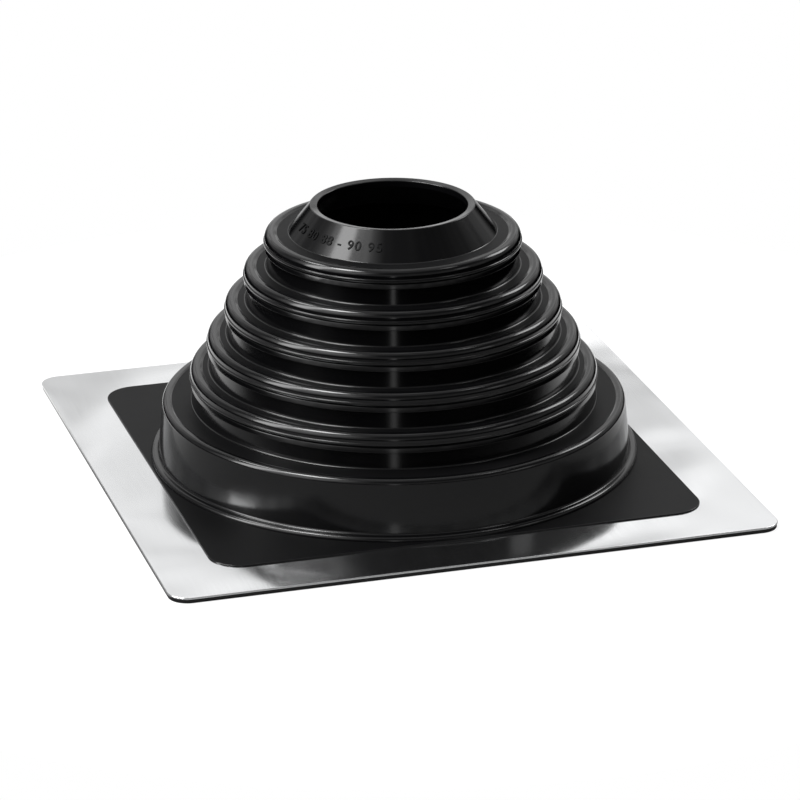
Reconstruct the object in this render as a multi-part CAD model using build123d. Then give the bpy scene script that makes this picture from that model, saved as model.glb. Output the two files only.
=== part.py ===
"""Pipe flashing boot: a stepped rubber boot moulded round a soft aluminium base sheet.

Millimetres, +Z up. The origin is on the pipe's axis, at the underside of the rubber skirt.
The boot is cut at whichever tier suits the pipe, and the sheet is dressed to the roof.
Radii and widths are built outwards from the bore, and heights upwards from the skirt.
"""
import os

from build123d import *

# Lip that grips the pipe
bore_radius = 44.2
bore_land = 4.4
bore_mouth_drop = 0.7
bore_mouth_round = 0.6
lip_width = 4.2
lip_round = 0.9

# Top cone
cone_run = 13.1
cone_height = 16.4

# Ledges, from the top one down: how far each bead stands out past the cone or the bead above
ledge_widths = [14.7, 12.4, 11.5, 10.9, 10.6]
tier_height = 20.7

# The rolled bead round the top of a tier, and the valley behind it
bead_crown = 0.5
bead_depth = 6.1
bead_crest_width = 6.2
bead_back_run = 1.8
bead_shoulder_round = 4.0
bead_crest_round = 1.6
valley_drop = 0.5
valley_round = 1.0

# The fine rib that runs round the foot of the bead
rib_reach = 0.6
rib_slope = 0.2
rib_face = 1.1
rib_round = 0.3

# The groove under the bead and the small leaning ridge below it
groove_inset = 2.4
groove_slope = 0.8
groove_round = 0.5
ridge_reach = 1.8
ridge_lean = 0.7
ridge_slope = 1.0
ridge_face = 2.5
ridge_shoulder_round = 0.6
ridge_foot_round = 0.3

# The tier's wall below the ridge, which spreads towards its foot
neck_inset = 2.2
neck_slope = 0.5
neck_round = 0.4
wall_spread = 1.6
foot_fillet = 1.0

# Drum with its low rolled rim, and the low ring at its foot
drum_ledge = 16.4
drum_height = 34.3
drum_spread = 3.0
drum_rim_crown = 0.5
drum_rim_width = 4.6
drum_rim_back_run = 0.9
drum_rim_round = 3.2
drum_rim_crest_round = 1.0
drum_rim_back_round = 0.6
drum_foot_fillet = 1.5
ring_width = 4.7
ring_height = 2.6
ring_round = 2.3

# Moulded wall
wall = 3.0
cone_wall = 3.8
inner_round = 1.2
drum_inner_round = 2.0

# Square rubber patch over the window of the sheet
patch_margin = 1.0
patch_corner_radius = 19.0
patch_lip_thickness = 0.8
patch_edge_round = 0.35

# Aluminium base sheet
frame_width = 33.3
sheet_thickness = 1.0
sheet_corner_radius = 12.0
sheet_edge_round = 0.4
sheet_grip = 5.0
sheet_clearance = 0.2

# Rubber skirt under the sheet, with square grooves that leave sealing ribs
skirt_thickness = 2.5
skirt_setback = 0.4
groove_count = 3
groove_margin = 7.0
groove_width = 3.0
groove_gap = 5.0
groove_depth = 1.0
groove_corner_radius = 10.0

lip_radius = bore_radius + lip_width
cone_foot_radius = lip_radius + cone_run
bead_radii = [cone_foot_radius + sum(ledge_widths[:i + 1]) for i in range(len(ledge_widths))]
drum_top_radius = bead_radii[-1] + drum_ledge
drum_rim_back = drum_top_radius - drum_rim_width
drum_foot_radius = drum_top_radius + drum_spread
ring_radius = drum_foot_radius + ring_width
patch_side = 2 * (ring_radius + patch_margin)
sheet_side = patch_side + 2 * frame_width
window_side = patch_side - 2 * sheet_grip
window_corner_radius = patch_corner_radius - sheet_grip

sheet_top = skirt_thickness + sheet_thickness
patch_top = sheet_top + patch_lip_thickness
ring_top = patch_top + ring_height
drum_top = patch_top + drum_height
cone_foot = drum_top + tier_height * len(bead_radii)
boot_top = cone_foot + cone_height
bore_mouth = boot_top - bore_mouth_drop
land_foot = boot_top - bore_land

ridge_inset = groove_inset - ridge_reach
neck_setback = ridge_inset + neck_inset
foot_setback = neck_setback - wall_spread


def rounded_square(side, corner_radius, bottom, thickness):
    """A square slab with rounded corners, centred on the pipe's axis."""
    outline = RectangleRounded(side, side, corner_radius)
    return Pos(0, 0, bottom) * extrude(outline, thickness)


def turned(corners):
    """Turn a section round the pipe's axis: each corner is its radius, height and rounding."""
    points = [(radius, height) for radius, height, _ in corners]
    roundings = [rounding for _, _, rounding in corners]
    outline = FilletPolyline(*points, radius=roundings, close=True)
    section = make_face(Plane.XZ * outline)
    return revolve(section, Axis.Z)


def tiers():
    """Each tier from the drum up, as its bead's radius, its foot's height and its ledge's."""
    for i, bead_radius in enumerate(reversed(bead_radii)):
        foot = drum_top + tier_height * i
        yield bead_radius, foot, foot + tier_height


def tier_outside(bead_radius, foot, ledge):
    """The outside of one tier, from the foot of its wall up to the valley behind its bead."""
    rib_foot = ledge - bead_depth
    rib_shoulder = rib_foot + rib_face
    groove = rib_foot - groove_slope
    ridge_shoulder = groove - ridge_slope
    ridge_foot = ridge_shoulder - ridge_face
    neck = ridge_foot - neck_slope
    crest = ledge + bead_crown
    crest_back = bead_radius - bead_crest_width
    return [
        (bead_radius - foot_setback, foot, foot_fillet),
        (bead_radius - neck_setback, neck, neck_round),
        (bead_radius - ridge_inset, ridge_foot, ridge_foot_round),
        (bead_radius - ridge_inset - ridge_lean, ridge_shoulder, ridge_shoulder_round),
        (bead_radius - groove_inset, groove, groove_round),
        (bead_radius, rib_foot, rib_round),
        (bead_radius, rib_shoulder, rib_round),
        (bead_radius - rib_reach, rib_shoulder + rib_slope, rib_round),
        (bead_radius - rib_reach, crest, bead_shoulder_round),
        (crest_back, crest, bead_crest_round),
        (crest_back - bead_back_run, ledge - valley_drop, valley_round),
    ]


def tier_inside(bead_radius, foot, ledge):
    """The inside of one tier, one wall thickness in from its wall and its ledge."""
    return [
        (bead_radius - foot_setback - wall, foot - wall, inner_round),
        (bead_radius - neck_setback - wall, ledge - wall, inner_round),
    ]


def boot_outside():
    """The turned part of the boot with the bore sunk into its top, closed on the axis."""
    corners = [
        (0, sheet_top, 0),
        (ring_radius, sheet_top, 0),
        (ring_radius, ring_top, ring_round),
        (drum_foot_radius, ring_top, drum_foot_fillet),
        (drum_top_radius, drum_top + drum_rim_crown, drum_rim_round),
        (drum_rim_back, drum_top + drum_rim_crown, drum_rim_crest_round),
        (drum_rim_back - drum_rim_back_run, drum_top, drum_rim_back_round),
    ]
    for tier in tiers():
        corners += tier_outside(*tier)
    corners += [
        (cone_foot_radius, cone_foot, foot_fillet),
        (lip_radius, boot_top, lip_round),
        (bore_radius, bore_mouth, bore_mouth_round),
        (bore_radius, land_foot, 0),
        (0, land_foot, 0),
    ]
    return turned(corners)


def boot_inside():
    """The hollow that the pipe passes through, open at the underside, up to the bore."""
    corners = [
        (0, 0, 0),
        (drum_foot_radius - wall, 0, 0),
        (drum_top_radius - wall, drum_top - wall, drum_inner_round),
    ]
    for tier in tiers():
        corners += tier_inside(*tier)
    corners += [
        (cone_foot_radius - cone_wall, cone_foot - wall, inner_round),
        (bore_radius, land_foot, 0),
        (0, land_foot, 0),
    ]
    return turned(corners)


def sealing_grooves():
    """Square grooves in the underside of the skirt, one inside the other."""
    grooves = []
    for i in range(groove_count):
        inset = groove_margin + i * (groove_width + groove_gap)
        outer_side = sheet_side - 2 * inset
        inner_side = outer_side - 2 * groove_width
        outer = rounded_square(outer_side, groove_corner_radius + groove_width, 0, groove_depth)
        inner = rounded_square(inner_side, groove_corner_radius, 0, groove_depth)
        grooves.append(outer - inner)
    return grooves


def epdm_boot():
    """The rubber moulding: skirt, core in the window, lip over the sheet, and the boot."""
    skirt = rounded_square(
        sheet_side - 2 * skirt_setback, sheet_corner_radius - skirt_setback, 0, skirt_thickness)
    core = rounded_square(
        window_side - 2 * sheet_clearance, window_corner_radius - sheet_clearance,
        skirt_thickness, sheet_thickness)
    patch = rounded_square(patch_side, patch_corner_radius, sheet_top, patch_lip_thickness)
    patch = fillet(patch.edges().group_by(Axis.Z)[-1], patch_edge_round)
    return skirt + core + patch + boot_outside() - boot_inside() - sealing_grooves()


def aluminium_base_frame():
    """The soft sheet with its window, seated on the skirt and gripped by the patch's lip."""
    sheet = rounded_square(sheet_side, sheet_corner_radius, skirt_thickness, sheet_thickness)
    sheet = fillet(sheet.edges().group_by(Axis.Z)[-1], sheet_edge_round)
    return sheet - rounded_square(
        window_side, window_corner_radius, skirt_thickness, sheet_thickness)


os.makedirs("parts", exist_ok=True)
export_step(epdm_boot(), "parts/epdm_boot.step")
export_step(aluminium_base_frame(), "parts/aluminium_base_frame.step")
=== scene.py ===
"""Pipe flashing boot: a stepped rubber boot moulded round a soft aluminium sheet, in a plain studio.

Every size below is in millimetres, as on the drawing, and each mesh is turned to metres last.
"""
import math

import bmesh
import bpy
from bpy.props import (
    FloatProperty, FloatVectorProperty, PointerProperty, StringProperty)
from mathutils import Matrix, Vector, noise


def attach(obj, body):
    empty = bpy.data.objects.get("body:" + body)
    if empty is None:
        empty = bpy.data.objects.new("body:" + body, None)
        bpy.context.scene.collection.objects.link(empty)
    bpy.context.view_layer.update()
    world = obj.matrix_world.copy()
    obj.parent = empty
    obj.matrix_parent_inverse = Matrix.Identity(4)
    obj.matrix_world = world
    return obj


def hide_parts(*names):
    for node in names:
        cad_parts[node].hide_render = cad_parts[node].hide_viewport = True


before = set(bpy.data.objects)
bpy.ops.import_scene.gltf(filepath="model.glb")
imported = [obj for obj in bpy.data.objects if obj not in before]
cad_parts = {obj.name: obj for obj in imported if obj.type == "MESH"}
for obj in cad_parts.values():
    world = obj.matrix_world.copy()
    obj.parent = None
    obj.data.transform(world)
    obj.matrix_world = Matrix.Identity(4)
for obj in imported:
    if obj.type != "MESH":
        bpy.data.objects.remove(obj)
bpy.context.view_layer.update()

bl_info = {
    "name": "Pipe Flashing Boot",
    "version": (1, 0, 0),
    "blender": (4, 5, 0),
    "location": "View3D > Sidebar > Flashing",
    "description": "Models and finishes a stepped rubber pipe boot on an aluminium base sheet",
    "category": "Add Mesh",
}

MM = 0.001

# Lip and top cone
BORE_LAND = 4.4
BORE_MOUTH_DROP = 0.7
BORE_MOUTH_ROUND = 0.6
LIP_ROUND = 0.9
CONE_RUN = 13.1
CONE_HEIGHT = 16.4

# Bead round the top of a tier, and the valley behind it
BEAD_CROWN = 0.5
BEAD_DEPTH = 6.1
BEAD_CREST_WIDTH = 6.2
BEAD_BACK_RUN = 1.8
BEAD_SHOULDER_ROUND = 4.0
BEAD_CREST_ROUND = 1.6
VALLEY_DROP = 0.5
VALLEY_ROUND = 1.0

# Fine rib round the foot of the bead
RIB_REACH = 0.6
RIB_SLOPE = 0.2
RIB_FACE = 1.1
RIB_ROUND = 0.3

# Groove under the bead, and the small leaning ridge below it
GROOVE_INSET = 2.4
GROOVE_SLOPE = 0.8
GROOVE_ROUND = 0.5
RIDGE_REACH = 1.8
RIDGE_LEAN = 0.7
RIDGE_SLOPE = 1.0
RIDGE_FACE = 2.5
RIDGE_SHOULDER_ROUND = 0.6
RIDGE_FOOT_ROUND = 0.3

# Wall below the ridge
NECK_INSET = 2.2
NECK_SLOPE = 0.5
NECK_ROUND = 0.4
WALL_SPREAD = 1.6
FOOT_FILLET = 1.0

# Drum with its low rolled rim, and the ring at its foot
DRUM_SPREAD = 3.0
DRUM_RIM_CROWN = 0.5
DRUM_RIM_WIDTH = 4.6
DRUM_RIM_BACK_RUN = 0.9
DRUM_RIM_ROUND = 3.2
DRUM_RIM_CREST_ROUND = 1.0
DRUM_RIM_BACK_ROUND = 0.6
DRUM_FOOT_FILLET = 1.5
RING_WIDTH = 4.7
RING_HEIGHT = 2.6
RING_ROUND = 2.3

# Moulded wall
WALL = 3.0
CONE_WALL = 3.8
INNER_ROUND = 1.2
DRUM_INNER_ROUND = 2.0

# Patch, sheet and skirt
PATCH_MARGIN = 1.0
PATCH_CORNER = 19.0
PATCH_LIP = 0.8
PATCH_EDGE_ROUND = 0.35
SHEET_THICKNESS = 1.0
SHEET_CORNER = 12.0
SHEET_EDGE_ROUND = 0.4
SHEET_WAVE_LENGTH = 80.0
SHEET_GRIP = 5.0
SHEET_CLEARANCE = 0.2
SKIRT_THICKNESS = 2.5
SKIRT_SETBACK = 0.4
SKIRT_EDGE_ROUND = 0.3
SEAL_GROOVES = 3
SEAL_MARGIN = 7.0
SEAL_WIDTH = 3.0
SEAL_GAP = 5.0
SEAL_DEPTH = 1.0
SEAL_CORNER = 10.0

# Moulded size numerals on the cone, turned from the camera's side
NUMERAL_HEIGHT = 5.6
NUMERAL_PROUD = 0.5
NUMERAL_ROOT = 0.3
NUMERAL_ROUND = 0.12
NUMERAL_STEPS = 4
NUMERAL_SPACING = 1.2
NUMERAL_UP_SLOPE = 0.47
NUMERAL_ANGLE = math.radians(-40.0)
FIGURE_SHARE = 0.7      # height of a figure as a share of its font's size

# Mesh fineness
CORNER_STEPS = 12
SIDE_STEPS = 52
AROUND = 4 * (CORNER_STEPS + SIDE_STEPS)
ROUND_STEPS = 4
EDGE_STEPS = 3
SKIRT_EDGE_STEPS = 2
SHEET_RINGS = 10
LOOPS_APART = 40.0
EDGE_SUPPORT = 0.75
NEAR = 0.01
SAME_POINT = 0.001
SHARP_ANGLE = math.radians(40.0)

# Rubber: where its flats are dull, how much each finish mirrors, how far the roughness strays
# from the chosen one, and its patterns. The grain is drawn coarser than the real one, so that
# it shows.
FLAT_NORMAL = 0.97
FLAT_DROP = 0.6
FLAT_RISE = 0.3
RUBBER_IOR = 1.5
GLOSSY_SPECULAR = 0.5
DULL_SPECULAR = 0.12
SMOOTHER_BY = 0.04
ROUGHER_BY = 0.05
BLOOM_PATCH = 45.0
BLOOM_BREAK_UP = 0.55
FLOW_MARK = 18.0
FLOW_DEPTH = 0.1
FLOW_STRENGTH = 0.4
GRAIN = 0.7
GRAIN_DEPTH = 0.004
GRAIN_STRENGTH = 0.2

# Sheet metal: its rolling lines, drawn coarser than the real ones so that they show, how far
# its roughness strays, its waves, and the droop of its corners, by distance from the axis
ROLLING_LINE = 0.9
ROLLING_STRETCH = 0.02
ROLLING_BREAK_UP = 0.6
ROLLING_DEPTH = 0.004
ROLLING_STRENGTH = 0.1
BRIGHTER_BY = 0.04
DULLER_BY = 0.06
METAL_WAVE = 90.0
METAL_WAVE_DEPTH = 2.0
DROOP_FROM = 170.0
DROOP_TO = 280.0
DROOP = 7.0

# Camera, in the part's frame
CAMERA_TURN = math.radians(16.156)
CAMERA_RISE = math.radians(21.816)
CAMERA_DISTANCE = 2518.0
CAMERA_ROLL = math.radians(-0.344)
CAMERA_AIM_RIGHT = 3.7
CAMERA_AIM_HEIGHT = 34.6
CAMERA_FOCAL_PIXELS = 4196.7
PHOTO_WIDTH = 800
SENSOR_WIDTH = 36.0

# Studio floor: its glow to the eye, and its painted glow to the gloss behind the boot, cut out by a
# painted shade under the boot
FLOOR_RADIUS = 450.0
FLOOR_SIDES = 96
FLOOR_DROP = 0.1
EYE_GLOW = 0.86
GLOSS_GLOW = 0.9
GLOSS_GLOW_FROM = -50.0
GLOSS_GLOW_FULL = 150.0
SHADE_RADIUS = 150.0
SHADE_EDGE = 20.0

# Studio lights, turned from the camera's side, in degrees
LAMP_AIM_HEIGHT = 70.0
SOFTBOXES = {
    # turn, rise, distance, width, height, radiance
    "key_tall": (-73, 34, 1300, 360, 1280, 6.0),
    "key_high": (-112, 55, 1300, 300, 240, 9.0),
    "overhead_left": (-68, 63, 1300, 380, 300, 18.0),
    "rim_right": (130, 38, 1300, 420, 360, 5.5),
    "right_high": (85, 63, 1300, 220, 160, 3.0),
    "right_low": (64, 24, 1300, 240, 300, 1.0),
    "front_strip": (0, 3, 1500, 80, 520, 1.1),
}
SURROUND_GLOWS = (
    # turn and rise, angle where it fades out, angle where it is full, radiance
    ((180, 42), 47, 12, 0.62),
    ((180, -6), 22, 6, 0.8),
    ((-62, 35), 41, 2, 2.0),
)
# rise, radiance
SURROUND_BAND = ((3, 0.0), (10, 0.32), (26, 0.32), (38, 0.14), (50, 0.07), (62, 0.14), (74, 0.45))
SURROUND_PATCH = 6.0
SURROUND_DIMMEST = 0.5
SURROUND_BRIGHTEST = 1.3
NOISE_LOW = 0.35
NOISE_HIGH = 0.65


def linear(code):
    """The linear colour of an sRGB hex code."""
    channels = [int(code[i:i + 2], 16) / 255 for i in (1, 3, 5)]
    return [c / 12.92 if c <= 0.04045 else ((c + 0.055) / 1.055) ** 2.4 for c in channels]


class FlashingSizes(bpy.types.PropertyGroup):
    """The sizes of the boot and its sheet."""

    bore_radius: FloatProperty(
        name="Bore radius", description="Radius of the hole that grips the pipe",
        default=44.2 * MM, unit="LENGTH")
    lip_width: FloatProperty(
        name="Lip width", description="Width of the lip round the bore",
        default=4.2 * MM, unit="LENGTH")
    ledge_widths: FloatVectorProperty(
        name="Ledge widths", description="How far each bead stands out past the one above it",
        size=5, default=[w * MM for w in (14.7, 12.4, 11.5, 10.9, 10.6)], unit="LENGTH")
    tier_height: FloatProperty(
        name="Tier height", description="Height from one ledge to the next",
        default=20.7 * MM, unit="LENGTH")
    drum_ledge: FloatProperty(
        name="Drum ledge", description="How far the drum stands out past the lowest bead",
        default=16.4 * MM, unit="LENGTH")
    drum_height: FloatProperty(
        name="Drum height", description="Height of the drum over the patch",
        default=34.3 * MM, unit="LENGTH")
    frame_width: FloatProperty(
        name="Frame width", description="Width of bare sheet round the rubber patch",
        default=33.3 * MM, unit="LENGTH")
    sheet_wave: FloatProperty(
        name="Sheet wave", description="How far the soft sheet rises and dips",
        default=0.12 * MM, unit="LENGTH")
    numerals: StringProperty(
        name="Numerals", description="Plain size numerals moulded on the cone",
        default="75 80 88 - 90 95")


class FlashingFinish(bpy.types.PropertyGroup):
    """The colours and gloss of the rubber, the sheet and the studio."""

    rubber_colour: FloatVectorProperty(
        name="Rubber", description="Colour of the carbon-black rubber",
        subtype="COLOR", size=3, default=linear("#050506"), min=0, max=1)
    rubber_bloom: FloatVectorProperty(
        name="Bloom", description="Colour where the rubber has a faint dry bloom",
        subtype="COLOR", size=3, default=linear("#0b0b0c"), min=0, max=1)
    rubber_roughness: FloatProperty(
        name="Rubber roughness", description="Roughness of the turned faces of the moulded skin",
        default=0.13, min=0, max=1)
    dull_roughness: FloatProperty(
        name="Dull roughness", description="Roughness of the flat faces and the numerals",
        default=0.48, min=0, max=1)
    metal_colour: FloatVectorProperty(
        name="Sheet metal", description="Colour of the rolled aluminium",
        subtype="COLOR", size=3, default=linear("#f8f9fa"), min=0, max=1)
    metal_roughness: FloatProperty(
        name="Metal roughness", description="Roughness of the rolled face",
        default=0.14, min=0, max=1)
    floor_colour: FloatVectorProperty(
        name="Floor", description="Colour of the studio floor",
        subtype="COLOR", size=3, default=linear("#8c8c8c"), min=0, max=1)


def sizes():
    """The boot's sizes from the panel, in millimetres, with the radii and heights they give."""
    chosen = bpy.context.scene.flashing_sizes
    size = {name: getattr(chosen, name) / MM for name in (
        "bore_radius", "lip_width", "tier_height", "drum_ledge", "drum_height",
        "frame_width", "sheet_wave")}
    ledge_widths = [width / MM for width in chosen.ledge_widths]
    size["lip_radius"] = size["bore_radius"] + size["lip_width"]
    size["cone_foot_radius"] = size["lip_radius"] + CONE_RUN
    size["bead_radii"] = [
        size["cone_foot_radius"] + sum(ledge_widths[:i + 1]) for i in range(len(ledge_widths))]
    size["drum_top_radius"] = size["bead_radii"][-1] + size["drum_ledge"]
    size["drum_foot_radius"] = size["drum_top_radius"] + DRUM_SPREAD
    size["ring_radius"] = size["drum_foot_radius"] + RING_WIDTH
    size["patch_half"] = size["ring_radius"] + PATCH_MARGIN
    size["sheet_half"] = size["patch_half"] + size["frame_width"]
    size["window_half"] = size["patch_half"] - SHEET_GRIP
    size["window_corner"] = PATCH_CORNER - SHEET_GRIP
    size["sheet_top"] = SKIRT_THICKNESS + SHEET_THICKNESS
    size["patch_top"] = size["sheet_top"] + PATCH_LIP
    size["ring_top"] = size["patch_top"] + RING_HEIGHT
    size["drum_top"] = size["patch_top"] + size["drum_height"]
    size["cone_foot"] = size["drum_top"] + size["tier_height"] * len(ledge_widths)
    size["boot_top"] = size["cone_foot"] + CONE_HEIGHT
    return size


def tiers(size):
    """Each tier from the drum up: its bead's radius, its foot's height and its ledge's."""
    for i, bead_radius in enumerate(reversed(size["bead_radii"])):
        foot = size["drum_top"] + size["tier_height"] * i
        yield bead_radius, foot, foot + size["tier_height"]


def tier_outside(bead_radius, foot, ledge):
    """Corners of one tier's outside, from the foot of its wall to the valley behind its bead."""
    rib_foot = ledge - BEAD_DEPTH
    rib_shoulder = rib_foot + RIB_FACE
    groove = rib_foot - GROOVE_SLOPE
    ridge_shoulder = groove - RIDGE_SLOPE
    ridge_foot = ridge_shoulder - RIDGE_FACE
    ridge_inset = GROOVE_INSET - RIDGE_REACH
    neck_setback = ridge_inset + NECK_INSET
    crest_back = bead_radius - BEAD_CREST_WIDTH
    return [
        (bead_radius - neck_setback + WALL_SPREAD, foot, FOOT_FILLET),
        (bead_radius - neck_setback, ridge_foot - NECK_SLOPE, NECK_ROUND),
        (bead_radius - ridge_inset, ridge_foot, RIDGE_FOOT_ROUND),
        (bead_radius - ridge_inset - RIDGE_LEAN, ridge_shoulder, RIDGE_SHOULDER_ROUND),
        (bead_radius - GROOVE_INSET, groove, GROOVE_ROUND),
        (bead_radius, rib_foot, RIB_ROUND),
        (bead_radius, rib_shoulder, RIB_ROUND),
        (bead_radius - RIB_REACH, rib_shoulder + RIB_SLOPE, RIB_ROUND),
        (bead_radius - RIB_REACH, ledge + BEAD_CROWN, BEAD_SHOULDER_ROUND),
        (crest_back, ledge + BEAD_CROWN, BEAD_CREST_ROUND),
        (crest_back - BEAD_BACK_RUN, ledge - VALLEY_DROP, VALLEY_ROUND),
    ]


def boot_outside(size):
    """Corners of the turned outside, from the patch up to the bore's mouth."""
    rim_crest = size["drum_top"] + DRUM_RIM_CROWN
    rim_back = size["drum_top_radius"] - DRUM_RIM_WIDTH
    corners = [
        (size["ring_radius"], size["patch_top"], 0),
        (size["ring_radius"], size["ring_top"], RING_ROUND),
        (size["drum_foot_radius"], size["ring_top"], DRUM_FOOT_FILLET),
        (size["drum_top_radius"], rim_crest, DRUM_RIM_ROUND),
        (rim_back, rim_crest, DRUM_RIM_CREST_ROUND),
        (rim_back - DRUM_RIM_BACK_RUN, size["drum_top"], DRUM_RIM_BACK_ROUND),
    ]
    for tier in tiers(size):
        corners += tier_outside(*tier)
    corners += [
        (size["cone_foot_radius"], size["cone_foot"], FOOT_FILLET),
        (size["lip_radius"], size["boot_top"], LIP_ROUND),
        (size["bore_radius"], size["boot_top"] - BORE_MOUTH_DROP, BORE_MOUTH_ROUND),
    ]
    return corners


def boot_inside(size):
    """Corners of the hollow, from the bore's land down to the underside."""
    corners = [
        (size["bore_radius"], size["boot_top"] - BORE_LAND, 0),
        (size["cone_foot_radius"] - CONE_WALL, size["cone_foot"] - WALL, INNER_ROUND),
    ]
    ridge_inset = GROOVE_INSET - RIDGE_REACH
    neck_setback = ridge_inset + NECK_INSET
    for bead_radius, foot, ledge in reversed(list(tiers(size))):
        corners += [
            (bead_radius - neck_setback - WALL, ledge - WALL, INNER_ROUND),
            (bead_radius - neck_setback + WALL_SPREAD - WALL, foot - WALL, INNER_ROUND),
        ]
    corners += [
        (size["drum_top_radius"] - WALL, size["drum_top"] - WALL, DRUM_INNER_ROUND),
        (size["drum_foot_radius"] - WALL, 0, 0),
    ]
    return corners


def draw_section(bm, corners):
    """A chain of edges through the corners, each rounded by its own radius."""
    points = [Vector((radius, 0, height)) for radius, height, _ in corners]
    verts = [bm.verts.new(point) for point in points]
    for pair in zip(verts, verts[1:]):
        bm.edges.new(pair)
    for i in range(1, len(corners) - 1):
        rounding = corners[i][2]
        if not rounding:
            continue
        turn = (points[i] - points[i - 1]).angle(points[i + 1] - points[i])
        bmesh.ops.bevel(
            bm, geom=[verts[i]], offset=rounding * math.tan(turn / 2), offset_type="OFFSET",
            segments=max(2, round(ROUND_STEPS * math.sqrt(rounding))), profile=0.5,
            affect="VERTICES", material=-1)


def turn_section(bm, corners):
    """Turn a rounded section round the pipe's axis."""
    others = {*bm.verts, *bm.edges}
    draw_section(bm, corners)
    section = [part for part in (*bm.verts, *bm.edges) if part not in others]
    bmesh.ops.spin(
        bm, geom=section, cent=(0, 0, 0), axis=(0, 0, 1),
        angle=math.tau, steps=AROUND, use_merge=True)


def rounded_square(bm, half, corner, height):
    """A closed loop of edges: a square with rounded corners, as finely divided as a circle."""
    place = Matrix.Translation((0, 0, height)) @ Matrix.Rotation(math.pi / 4, 4, "Z")
    square = bmesh.ops.create_circle(
        bm, segments=4, radius=half * math.sqrt(2), cap_ends=False, matrix=place)["verts"]
    arcs = bmesh.ops.bevel(
        bm, geom=square, offset=corner, offset_type="OFFSET", segments=CORNER_STEPS,
        profile=0.5, affect="VERTICES", material=-1)["verts"]
    edges = {edge for vert in arcs for edge in vert.link_edges}
    sides = [edge for edge in edges if edge.calc_length() > half]
    split = bmesh.ops.subdivide_edges(bm, edges=sides, cuts=SIDE_STEPS - 1)["geom_split"]
    return list(edges.union(part for part in split if isinstance(part, bmesh.types.BMEdge)))


def rim(bm, height, radius):
    """The open edge loop of a turned shell at this height and radius."""
    return [edge for edge in bm.edges if edge.is_boundary and all(
        abs(vert.co.z - height) < NEAR and abs(vert.co.xy.length - radius) < NEAR
        for vert in edge.verts)]


def bridge(bm, first, second):
    """Join two loops by a band of quads; they are held apart meanwhile, so that level ones pair."""
    lifted = list({vert for edge in second for vert in edge.verts})
    bmesh.ops.translate(bm, verts=lifted, vec=(0, 0, LOOPS_APART))
    bmesh.ops.bridge_loops(bm, edges=[*first, *second])
    bmesh.ops.translate(bm, verts=lifted, vec=(0, 0, -LOOPS_APART))


def bridge_chain(bm, loops):
    """Join each loop to the next by a band of quads."""
    for first, second in zip(loops, loops[1:]):
        bridge(bm, first, second)


def on_outline(co, half, corner, height):
    """Whether a point lies on the outline of a rounded square at this height."""
    beyond = Vector((max(abs(co.x) - half + corner, 0), max(abs(co.y) - half + corner, 0)))
    inside = min(max(abs(co.x), abs(co.y)) - half + corner, 0)
    on_line = abs(beyond.length + inside - corner) < NEAR
    return on_line and abs(co.z - height) < NEAR


def soften_outline(bm, half, corner, height, rounding, steps):
    """Round the edges along the outline of a rounded square."""
    edges = [edge for edge in bm.edges if all(
        on_outline(vert.co, half, corner, height) for vert in edge.verts)]
    bmesh.ops.bevel(
        bm, geom=edges, offset=rounding, offset_type="OFFSET", segments=steps, profile=0.5,
        affect="EDGES", clamp_overlap=True, material=-1)


def dull_flats(bm, levels):
    """Give the flat faces near these heights the piece's second material."""
    bm.normal_update()
    for face in bm.faces:
        height = face.calc_center_median().z
        if abs(face.normal.z) > FLAT_NORMAL and any(
                -FLAT_DROP < height - level < FLAT_RISE for level in levels):
            face.material_index = 1


def add_piece(bm, name, materials):
    """Turn the mesh to metres, close it off as a smooth piece, and ride it on the body."""
    bmesh.ops.scale(bm, vec=(MM, MM, MM), verts=bm.verts)
    bmesh.ops.recalc_face_normals(bm, faces=bm.faces)
    for face in bm.faces:
        face.smooth = True
    for edge in bm.edges:
        edge.smooth = edge.calc_face_angle(0) < SHARP_ANGLE
    mesh = bpy.data.meshes.new(name)
    bm.to_mesh(mesh)
    bm.free()
    for material in materials:
        mesh.materials.append(material)
    piece = bpy.data.objects.new(name, mesh)
    bpy.context.scene.collection.objects.link(piece)
    weighted = piece.modifiers.new("Even shading", "WEIGHTED_NORMAL")
    weighted.keep_sharp = True
    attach(piece, "root")
    return piece


def add_node(tree, kind, values=None, links=None, **settings):
    """Add a node with its settings, its sockets' values and the links into its sockets."""
    made = tree.nodes.new(kind)
    for name, value in settings.items():
        setattr(made, name, value)
    for name, value in (values or {}).items():
        made.inputs[name].default_value = value
    for name, source in (links or {}).items():
        tree.links.new(source, made.inputs[name])
    return made


def new_material(name):
    """An empty node material with its output and a Principled shader."""
    material = bpy.data.materials.new(name)
    material.use_nodes = True
    tree = material.node_tree
    tree.nodes.clear()
    shader = add_node(tree, "ShaderNodeBsdfPrincipled")
    add_node(tree, "ShaderNodeOutputMaterial", links={"Surface": shader.outputs["BSDF"]})
    return material, tree, shader


def per_metre(millimetres):
    """A texture's scale for a pattern of this size."""
    return 1 / (millimetres * MM)


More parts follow.
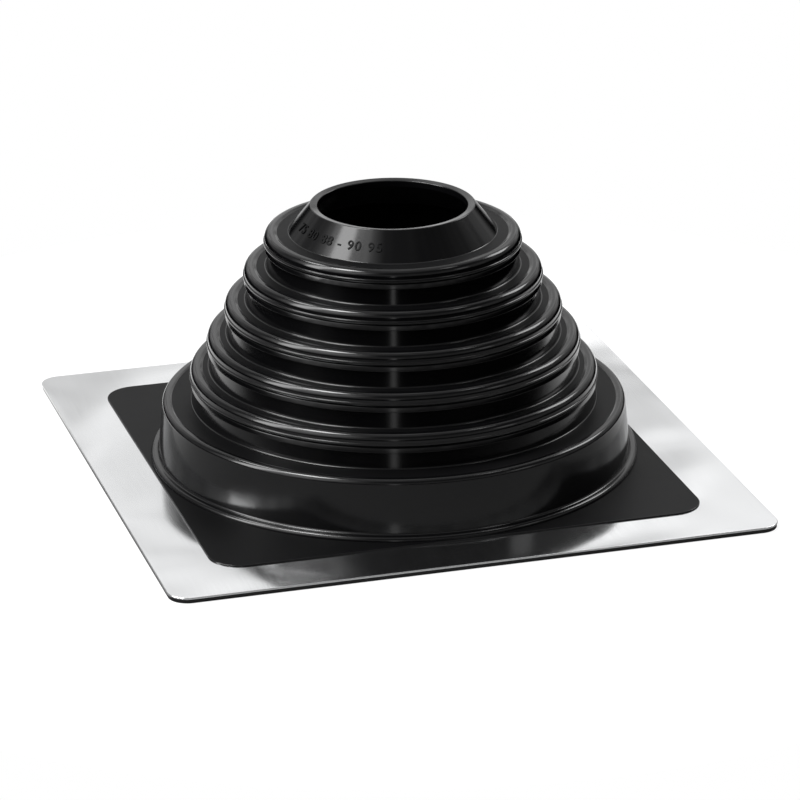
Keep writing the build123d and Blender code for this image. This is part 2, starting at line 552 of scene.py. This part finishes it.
def moulded_rubber(name, roughness, specular):
    """EPDM rubber, compression moulded: carbon black, with the finish that the mould gives it.

    The turned faces are glossy, from the polished mould. The flat ones and the numerals are dull,
    from an etched mould and fine dust. Both have a fine grain, gentle flow marks that bend the
    highlights, and a faint dry bloom.
    """
    finish = bpy.context.scene.flashing_finish
    material, tree, shader = new_material(name)
    place = add_node(tree, "ShaderNodeTexCoord").outputs["Object"]
    bloom = add_node(
        tree, "ShaderNodeTexNoise",
        {"Scale": per_metre(BLOOM_PATCH), "Detail": 3.0, "Roughness": BLOOM_BREAK_UP},
        {"Vector": place})
    colour = add_node(
        tree, "ShaderNodeMix",
        {6: (*finish.rubber_colour, 1), 7: (*finish.rubber_bloom, 1)},
        {0: bloom.outputs["Fac"]}, data_type="RGBA")
    tree.links.new(colour.outputs[2], shader.inputs["Base Color"])
    rough = add_node(
        tree, "ShaderNodeMapRange",
        {"To Min": roughness - SMOOTHER_BY, "To Max": roughness + ROUGHER_BY},
        {"Value": bloom.outputs["Fac"]})
    tree.links.new(rough.outputs["Result"], shader.inputs["Roughness"])
    shader.inputs["IOR"].default_value = RUBBER_IOR
    shader.inputs["Specular IOR Level"].default_value = specular
    flow = add_node(
        tree, "ShaderNodeTexNoise", {"Scale": per_metre(FLOW_MARK), "Detail": 2.0},
        {"Vector": place})
    grain = add_node(
        tree, "ShaderNodeTexNoise", {"Scale": per_metre(GRAIN), "Detail": 2.0},
        {"Vector": place})
    flow_bump = add_node(
        tree, "ShaderNodeBump", {"Strength": FLOW_STRENGTH, "Distance": FLOW_DEPTH * MM},
        {"Height": flow.outputs["Fac"]})
    grain_bump = add_node(
        tree, "ShaderNodeBump", {"Strength": GRAIN_STRENGTH, "Distance": GRAIN_DEPTH * MM},
        {"Height": grain.outputs["Fac"], "Normal": flow_bump.outputs["Normal"]})
    tree.links.new(grain_bump.outputs["Normal"], shader.inputs["Normal"])
    return material


def rolled_aluminium():
    """Soft aluminium sheet, cold rolled: a bright, nearly mirror face with fine rolling lines.

    The soft sheet isn't quite flat: it has long, low waves, and its free corners droop a little,
    which bends what it mirrors.
    """
    finish = bpy.context.scene.flashing_finish
    material, tree, shader = new_material("rolled_aluminium")
    place = add_node(tree, "ShaderNodeTexCoord").outputs["Object"]
    shader.inputs["Base Color"].default_value = (*finish.metal_colour, 1)
    shader.inputs["Metallic"].default_value = 1.0
    along = add_node(
        tree, "ShaderNodeMapping", {"Scale": (1.0, ROLLING_STRETCH, 1.0)}, {"Vector": place})
    lines = add_node(
        tree, "ShaderNodeTexNoise",
        {"Scale": per_metre(ROLLING_LINE), "Detail": 3.0, "Roughness": ROLLING_BREAK_UP},
        {"Vector": along.outputs["Vector"]})
    rough = add_node(
        tree, "ShaderNodeMapRange",
        {"To Min": finish.metal_roughness - BRIGHTER_BY,
         "To Max": finish.metal_roughness + DULLER_BY},
        {"Value": lines.outputs["Fac"]})
    tree.links.new(rough.outputs["Result"], shader.inputs["Roughness"])
    waves = add_node(
        tree, "ShaderNodeTexNoise", {"Scale": per_metre(METAL_WAVE), "Detail": 1.0},
        {"Vector": place})
    waves_bump = add_node(
        tree, "ShaderNodeBump", {"Strength": 1.0, "Distance": METAL_WAVE_DEPTH * MM},
        {"Height": waves.outputs["Fac"]})
    reach = add_node(tree, "ShaderNodeVectorMath", {}, {0: place}, operation="LENGTH")
    droop = add_node(
        tree, "ShaderNodeMapRange",
        {"From Min": DROOP_FROM * MM, "From Max": DROOP_TO * MM,
         "To Min": 0.0, "To Max": -DROOP * MM},
        {"Value": reach.outputs["Value"]}, interpolation_type="SMOOTHSTEP")
    droop_bump = add_node(
        tree, "ShaderNodeBump", {"Strength": 1.0, "Distance": 1.0},
        {"Height": droop.outputs["Result"], "Normal": waves_bump.outputs["Normal"]})
    lines_bump = add_node(
        tree, "ShaderNodeBump",
        {"Strength": ROLLING_STRENGTH, "Distance": ROLLING_DEPTH * MM},
        {"Height": lines.outputs["Fac"], "Normal": droop_bump.outputs["Normal"]})
    tree.links.new(lines_bump.outputs["Normal"], shader.inputs["Normal"])
    return material


def studio_floor():
    """Matt grey studio floor, lit up to plain white for the eye, which still takes a soft shadow.

    In the gloss of the boot it glows with painted light, dimmer at the front than behind, and a
    painted shade leaves it dark under the boot, where no light reaches it.
    """
    finish = bpy.context.scene.flashing_finish
    material, tree, shader = new_material("studio_floor")
    shader.inputs["Base Color"].default_value = (*finish.floor_colour, 1)
    shader.inputs["Roughness"].default_value = 1.0
    shader.inputs["Specular IOR Level"].default_value = 0.0
    place = add_node(tree, "ShaderNodeTexCoord").outputs["Object"]
    turned = add_node(
        tree, "ShaderNodeMapping", {"Rotation": (0, 0, CAMERA_TURN)}, {"Vector": place})
    spread = add_node(tree, "ShaderNodeSeparateXYZ", links={"Vector": turned.outputs["Vector"]})
    # Painted light: the floor's glow in the gloss rises from the front to behind the boot.
    behind = add_node(
        tree, "ShaderNodeMapRange",
        {"From Min": GLOSS_GLOW_FROM * MM, "From Max": GLOSS_GLOW_FULL * MM,
         "To Min": 0.0, "To Max": GLOSS_GLOW},
        {"Value": spread.outputs["Y"]}, interpolation_type="SMOOTHSTEP")
    # Painted shade: the glow in the gloss is cut out in a disc under the boot.
    from_axis = add_node(tree, "ShaderNodeVectorMath", {}, {0: place}, operation="LENGTH")
    out_of_shade = add_node(
        tree, "ShaderNodeMapRange",
        {"From Min": SHADE_RADIUS * MM, "From Max": (SHADE_RADIUS + SHADE_EDGE) * MM},
        {"Value": from_axis.outputs["Value"]})
    mirrored = add_node(
        tree, "ShaderNodeMath", {},
        {0: behind.outputs["Result"], 1: out_of_shade.outputs["Result"]}, operation="MULTIPLY")
    path = add_node(tree, "ShaderNodeLightPath")
    in_gloss = add_node(
        tree, "ShaderNodeMath", {},
        {0: mirrored.outputs["Value"], 1: path.outputs["Is Glossy Ray"]}, operation="MULTIPLY")
    direct = add_node(
        tree, "ShaderNodeMath", {},
        {0: path.outputs["Is Camera Ray"], 1: path.outputs["Is Transmission Ray"]},
        operation="ADD")
    glow = add_node(
        tree, "ShaderNodeMath", {1: EYE_GLOW},
        {0: direct.outputs["Value"], 2: in_gloss.outputs["Value"]}, operation="MULTIPLY_ADD")
    shader.inputs["Emission Color"].default_value = (1, 1, 1, 1)
    tree.links.new(glow.outputs["Value"], shader.inputs["Emission Strength"])
    return material


class FLASHING_OT_boot(bpy.types.Operator):
    """Model the rubber boot, its patch and its skirt as one moulding"""

    bl_idname = "flashing.boot"
    bl_label = "Rubber boot"

    def execute(self, context):
        size = sizes()
        bm = bmesh.new()
        skirt_half = size["sheet_half"] - SKIRT_SETBACK
        skirt_corner = SHEET_CORNER - SKIRT_SETBACK
        core_half = size["window_half"] - SHEET_CLEARANCE
        core_corner = size["window_corner"] - SHEET_CLEARANCE
        loops = [
            rounded_square(
                bm, size["patch_half"] - EDGE_SUPPORT, PATCH_CORNER - EDGE_SUPPORT,
                size["patch_top"]),
            rounded_square(bm, size["patch_half"], PATCH_CORNER, size["patch_top"]),
            rounded_square(bm, size["patch_half"], PATCH_CORNER, size["sheet_top"]),
            rounded_square(bm, core_half, core_corner, size["sheet_top"]),
            rounded_square(bm, core_half, core_corner, SKIRT_THICKNESS),
            rounded_square(bm, skirt_half, skirt_corner, SKIRT_THICKNESS),
            rounded_square(bm, skirt_half, skirt_corner, 0),
        ]
        for i in range(SEAL_GROOVES):
            outer = size["sheet_half"] - SEAL_MARGIN - i * (SEAL_WIDTH + SEAL_GAP)
            inner = outer - SEAL_WIDTH
            loops += [
                rounded_square(bm, outer, SEAL_CORNER + SEAL_WIDTH, 0),
                rounded_square(bm, outer, SEAL_CORNER + SEAL_WIDTH, SEAL_DEPTH),
                rounded_square(bm, inner, SEAL_CORNER, SEAL_DEPTH),
                rounded_square(bm, inner, SEAL_CORNER, 0),
            ]
        bridge_chain(bm, loops)
        soften_outline(
            bm, size["patch_half"], PATCH_CORNER, size["patch_top"], PATCH_EDGE_ROUND,
            EDGE_STEPS)
        for height in (0, SKIRT_THICKNESS):
            soften_outline(
                bm, skirt_half, skirt_corner, height, SKIRT_EDGE_ROUND, SKIRT_EDGE_STEPS)
        patch_rim, floor_rim = (
            [edge for edge in bm.edges if edge.is_boundary and abs(
                edge.verts[0].co.z - height) < NEAR] for height in (size["patch_top"], 0))
        turn_section(bm, boot_outside(size) + boot_inside(size))
        bridge(bm, rim(bm, size["patch_top"], size["ring_radius"]), patch_rim)
        bridge(bm, rim(bm, 0, size["drum_foot_radius"] - WALL), floor_rim)
        ledges = [ledge for _, _, ledge in tiers(size)]
        dull_flats(bm, [size["patch_top"], size["drum_top"], *ledges])
        finish = context.scene.flashing_finish
        rubbers = [
            moulded_rubber("moulded_epdm_rubber", finish.rubber_roughness, GLOSSY_SPECULAR),
            moulded_rubber("dull_epdm_rubber", finish.dull_roughness, DULL_SPECULAR),
        ]
        boot = add_piece(bm, "rubber_boot", rubbers)
        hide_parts("epdm_boot")
        return {"FINISHED"}


class FLASHING_OT_sheet(bpy.types.Operator):
    """Model the soft aluminium sheet with its window and its slight waves"""

    bl_idname = "flashing.sheet"
    bl_label = "Aluminium sheet"

    def execute(self, context):
        size = sizes()
        bm = bmesh.new()
        top = size["sheet_top"]
        loops = []
        for i in range(SHEET_RINGS + 1):
            share = i / SHEET_RINGS
            half = size["window_half"] + share * (size["sheet_half"] - size["window_half"])
            corner = size["window_corner"] + share * (SHEET_CORNER - size["window_corner"])
            loops.append(rounded_square(bm, half, corner, top))
        loops += [
            rounded_square(bm, size["sheet_half"], SHEET_CORNER, SKIRT_THICKNESS),
            rounded_square(bm, size["window_half"], size["window_corner"], SKIRT_THICKNESS),
        ]
        bridge_chain(bm, loops + loops[:1])
        soften_outline(
            bm, size["sheet_half"], SHEET_CORNER, top, SHEET_EDGE_ROUND, EDGE_STEPS)
        for vert in bm.verts:
            if vert.co.z > SKIRT_THICKNESS + NEAR:
                wave = noise.noise(vert.co / SHEET_WAVE_LENGTH)
                vert.co.z += size["sheet_wave"] * (wave - 1) / 2
        sheet = add_piece(bm, "aluminium_sheet", [rolled_aluminium()])
        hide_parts("aluminium_base_frame")
        return {"FINISHED"}


class FLASHING_OT_numerals(bpy.types.Operator):
    """Raise plain size numerals on the cone, as the mould leaves them"""

    bl_idname = "flashing.numerals"
    bl_label = "Size numerals"

    def execute(self, context):
        size = sizes()
        drawing = bpy.data.curves.new("numerals", "FONT")
        drawing.body = context.scene.flashing_sizes.numerals
        drawing.size = NUMERAL_HEIGHT / FIGURE_SHARE
        drawing.space_character = NUMERAL_SPACING
        drawing.align_x = "CENTER"
        drawing.extrude = (NUMERAL_PROUD + NUMERAL_ROOT) / 2 - NUMERAL_ROUND
        drawing.bevel_depth = NUMERAL_ROUND
        drawing.bevel_resolution = 1
        drawing.resolution_u = NUMERAL_STEPS
        text = bpy.data.objects.new("numerals", drawing)
        bpy.context.scene.collection.objects.link(text)
        bpy.context.view_layer.update()
        flat = bpy.data.meshes.new_from_object(text)
        bpy.data.objects.remove(text)
        bm = bmesh.new()
        bm.from_mesh(flat)
        bmesh.ops.remove_doubles(bm, verts=bm.verts, dist=SAME_POINT)
        slope = Vector((-CONE_RUN, CONE_HEIGHT)).normalized()
        facing = Vector((CONE_HEIGHT, CONE_RUN)).normalized()
        foot = Vector((size["cone_foot_radius"], size["cone_foot"]))
        middle = foot + NUMERAL_UP_SLOPE * Vector((-CONE_RUN, CONE_HEIGHT))
        for vert in bm.verts:
            lift = vert.co.z + (NUMERAL_PROUD - NUMERAL_ROOT) / 2
            section = middle + slope * (vert.co.y - NUMERAL_HEIGHT / 2) + facing * lift
            angle = NUMERAL_ANGLE - CAMERA_TURN + vert.co.x / middle.x
            vert.co = (section.x * math.sin(angle), -section.x * math.cos(angle), section.y)
        add_piece(bm, "size_numerals", [bpy.data.materials["dull_epdm_rubber"]])
        return {"FINISHED"}


def add_softbox(name, turn, rise, distance, width, height, radiance):
    """A rectangular lamp facing the boot, placed by its angles from the camera's side."""
    lamp = bpy.data.lights.new(name, "AREA")
    lamp.shape = "RECTANGLE"
    lamp.size = width * MM
    lamp.size_y = height * MM
    lamp.energy = radiance * math.pi * lamp.size * lamp.size_y
    away = Vector(direction(turn - math.degrees(CAMERA_TURN), rise))
    aim = Vector((0, 0, LAMP_AIM_HEIGHT * MM))
    softbox = bpy.data.objects.new(name, lamp)
    softbox.location = aim + away * distance * MM
    softbox.rotation_mode = "QUATERNION"
    softbox.rotation_quaternion = away.to_track_quat("Z", "Y")
    softbox.visible_camera = False
    bpy.context.scene.collection.objects.link(softbox)


def direction(turn, rise):
    """The direction at these angles: turn from the camera's side, rise above the horizon."""
    around = math.radians(turn)
    up = math.radians(rise)
    return (math.sin(around) * math.cos(up), -math.cos(around) * math.cos(up), math.sin(up))


def light_surround():
    """World light: white to the eye, and a soft studio to the light and the reflections.

    A broad light hangs behind and above, a low one behind, a soft one on the left, and a dim
    band runs all round and closes over the top.
    The lights are a little uneven, as cloth screens are, which gives the metal its soft streaks.
    """
    world = bpy.data.worlds.new("studio_surround")
    bpy.context.scene.world = world
    world.use_nodes = True
    tree = world.node_tree
    tree.nodes.clear()
    towards = add_node(tree, "ShaderNodeTexCoord").outputs["Generated"]
    turned = add_node(
        tree, "ShaderNodeMapping", {"Rotation": (0, 0, CAMERA_TURN)}, {"Vector": towards})
    level = None
    for (turn, rise), dim, full, radiance in SURROUND_GLOWS:
        near = add_node(
            tree, "ShaderNodeVectorMath", {1: direction(turn, rise)},
            {0: turned.outputs["Vector"]}, operation="DOT_PRODUCT")
        glow = add_node(
            tree, "ShaderNodeMapRange",
            {"From Min": math.cos(math.radians(dim)), "From Max": math.cos(math.radians(full)),
             "To Min": 0.0, "To Max": radiance},
            {"Value": near.outputs["Value"]}, interpolation_type="SMOOTHSTEP")
        level = glow.outputs["Result"] if level is None else add_node(
            tree, "ShaderNodeMath", {}, {0: level, 1: glow.outputs["Result"]},
            operation="ADD").outputs["Value"]
    height = add_node(tree, "ShaderNodeSeparateXYZ", links={"Vector": turned.outputs["Vector"]})
    band = add_node(
        tree, "ShaderNodeValToRGB", links={"Fac": height.outputs["Z"]})
    ramp = band.color_ramp
    while len(ramp.elements) < len(SURROUND_BAND):
        ramp.elements.new(1.0)
    for element, (rise, radiance) in zip(ramp.elements, SURROUND_BAND):
        element.position = max(math.sin(math.radians(rise)), 0)
        element.color = (radiance, radiance, radiance, 1)
    level = add_node(
        tree, "ShaderNodeMath", {}, {0: level, 1: band.outputs["Color"]}, operation="ADD")
    folds = add_node(
        tree, "ShaderNodeTexNoise", {"Scale": 1 / math.radians(SURROUND_PATCH), "Detail": 1.0},
        {"Vector": turned.outputs["Vector"]})
    uneven = add_node(
        tree, "ShaderNodeMapRange",
        {"From Min": NOISE_LOW, "From Max": NOISE_HIGH,
         "To Min": SURROUND_DIMMEST, "To Max": SURROUND_BRIGHTEST},
        {"Value": folds.outputs["Fac"]})
    level = add_node(
        tree, "ShaderNodeMath", {},
        {0: level.outputs["Value"], 1: uneven.outputs["Result"]}, operation="MULTIPLY")
    path = add_node(tree, "ShaderNodeLightPath")
    strength = add_node(
        tree, "ShaderNodeMix", {"B": 1.0},
        {"Factor": path.outputs["Is Camera Ray"], "A": level.outputs["Value"]})
    surround = add_node(
        tree, "ShaderNodeBackground", {"Color": (1, 1, 1, 1)},
        {"Strength": strength.outputs["Result"]})
    add_node(tree, "ShaderNodeOutputWorld", links={"Surface": surround.outputs["Background"]})


def place_camera():
    """The camera in the photograph's pose, a long lens from the front and above."""
    lens = bpy.data.cameras.new("camera")
    lens.sensor_width = SENSOR_WIDTH
    lens.lens = CAMERA_FOCAL_PIXELS / PHOTO_WIDTH * SENSOR_WIDTH
    lens.clip_end = 4 * CAMERA_DISTANCE * MM
    camera = bpy.data.objects.new("camera", lens)
    bpy.context.scene.collection.objects.link(camera)
    bpy.context.scene.camera = camera
    sheet_top = (SKIRT_THICKNESS + SHEET_THICKNESS) * MM
    stand = Vector((
        0, -CAMERA_DISTANCE * math.cos(CAMERA_RISE), CAMERA_DISTANCE * math.sin(CAMERA_RISE))) * MM
    aim = Vector((CAMERA_AIM_RIGHT, 0, CAMERA_AIM_HEIGHT - SKIRT_THICKNESS - SHEET_THICKNESS)) * MM
    forward = (aim - stand).normalized()
    right = forward.cross(Vector((0, 0, 1))).normalized()
    up = right.cross(forward)
    tilt = Matrix((right, up, -forward)).transposed()
    turned = Matrix.Rotation(-CAMERA_TURN, 3, "Z")
    pose = (turned @ tilt @ Matrix.Rotation(CAMERA_ROLL, 3, "Z")).to_4x4()
    pose.translation = turned @ stand + Vector((0, 0, sheet_top))
    camera.matrix_world = pose


class FLASHING_OT_stage(bpy.types.Operator):
    """Lay the floor, hang the lamps and place the camera"""

    bl_idname = "flashing.stage"
    bl_label = "Studio"

    def execute(self, context):
        bm = bmesh.new()
        bmesh.ops.create_circle(
            bm, cap_ends=True, segments=FLOOR_SIDES, radius=FLOOR_RADIUS * MM,
            matrix=Matrix.Translation((0, 0, -FLOOR_DROP * MM)))
        mesh = bpy.data.meshes.new("floor")
        bm.to_mesh(mesh)
        bm.free()
        mesh.materials.append(studio_floor())
        floor = bpy.data.objects.new("floor", mesh)
        context.scene.collection.objects.link(floor)
        light_surround()
        for name, placed in SOFTBOXES.items():
            add_softbox(name, *placed)
        place_camera()
        context.scene.view_settings.view_transform = "Standard"
        return {"FINISHED"}


class FLASHING_PT_panel(bpy.types.Panel):
    """The boot's pieces and sizes in the sidebar"""

    bl_idname = "FLASHING_PT_panel"
    bl_label = "Pipe Flashing Boot"
    bl_space_type = "VIEW_3D"
    bl_region_type = "UI"
    bl_category = "Flashing"

    def draw(self, context):
        for group in (context.scene.flashing_sizes, context.scene.flashing_finish):
            for name in group.__annotations__:
                self.layout.prop(group, name)
        for step in STEPS:
            self.layout.operator(step.bl_idname)


STEPS = (FLASHING_OT_boot, FLASHING_OT_sheet, FLASHING_OT_numerals, FLASHING_OT_stage)
CLASSES = (FlashingSizes, FlashingFinish, *STEPS, FLASHING_PT_panel)


def register():
    for made in CLASSES:
        bpy.utils.register_class(made)
    bpy.types.Scene.flashing_sizes = PointerProperty(type=FlashingSizes)
    bpy.types.Scene.flashing_finish = PointerProperty(type=FlashingFinish)


def unregister():
    del bpy.types.Scene.flashing_finish
    del bpy.types.Scene.flashing_sizes
    for made in reversed(CLASSES):
        bpy.utils.unregister_class(made)


def main():
    register()
    bpy.ops.flashing.boot()
    bpy.ops.flashing.sheet()
    bpy.ops.flashing.numerals()
    bpy.ops.flashing.stage()


if __name__ == "__main__":
    main()
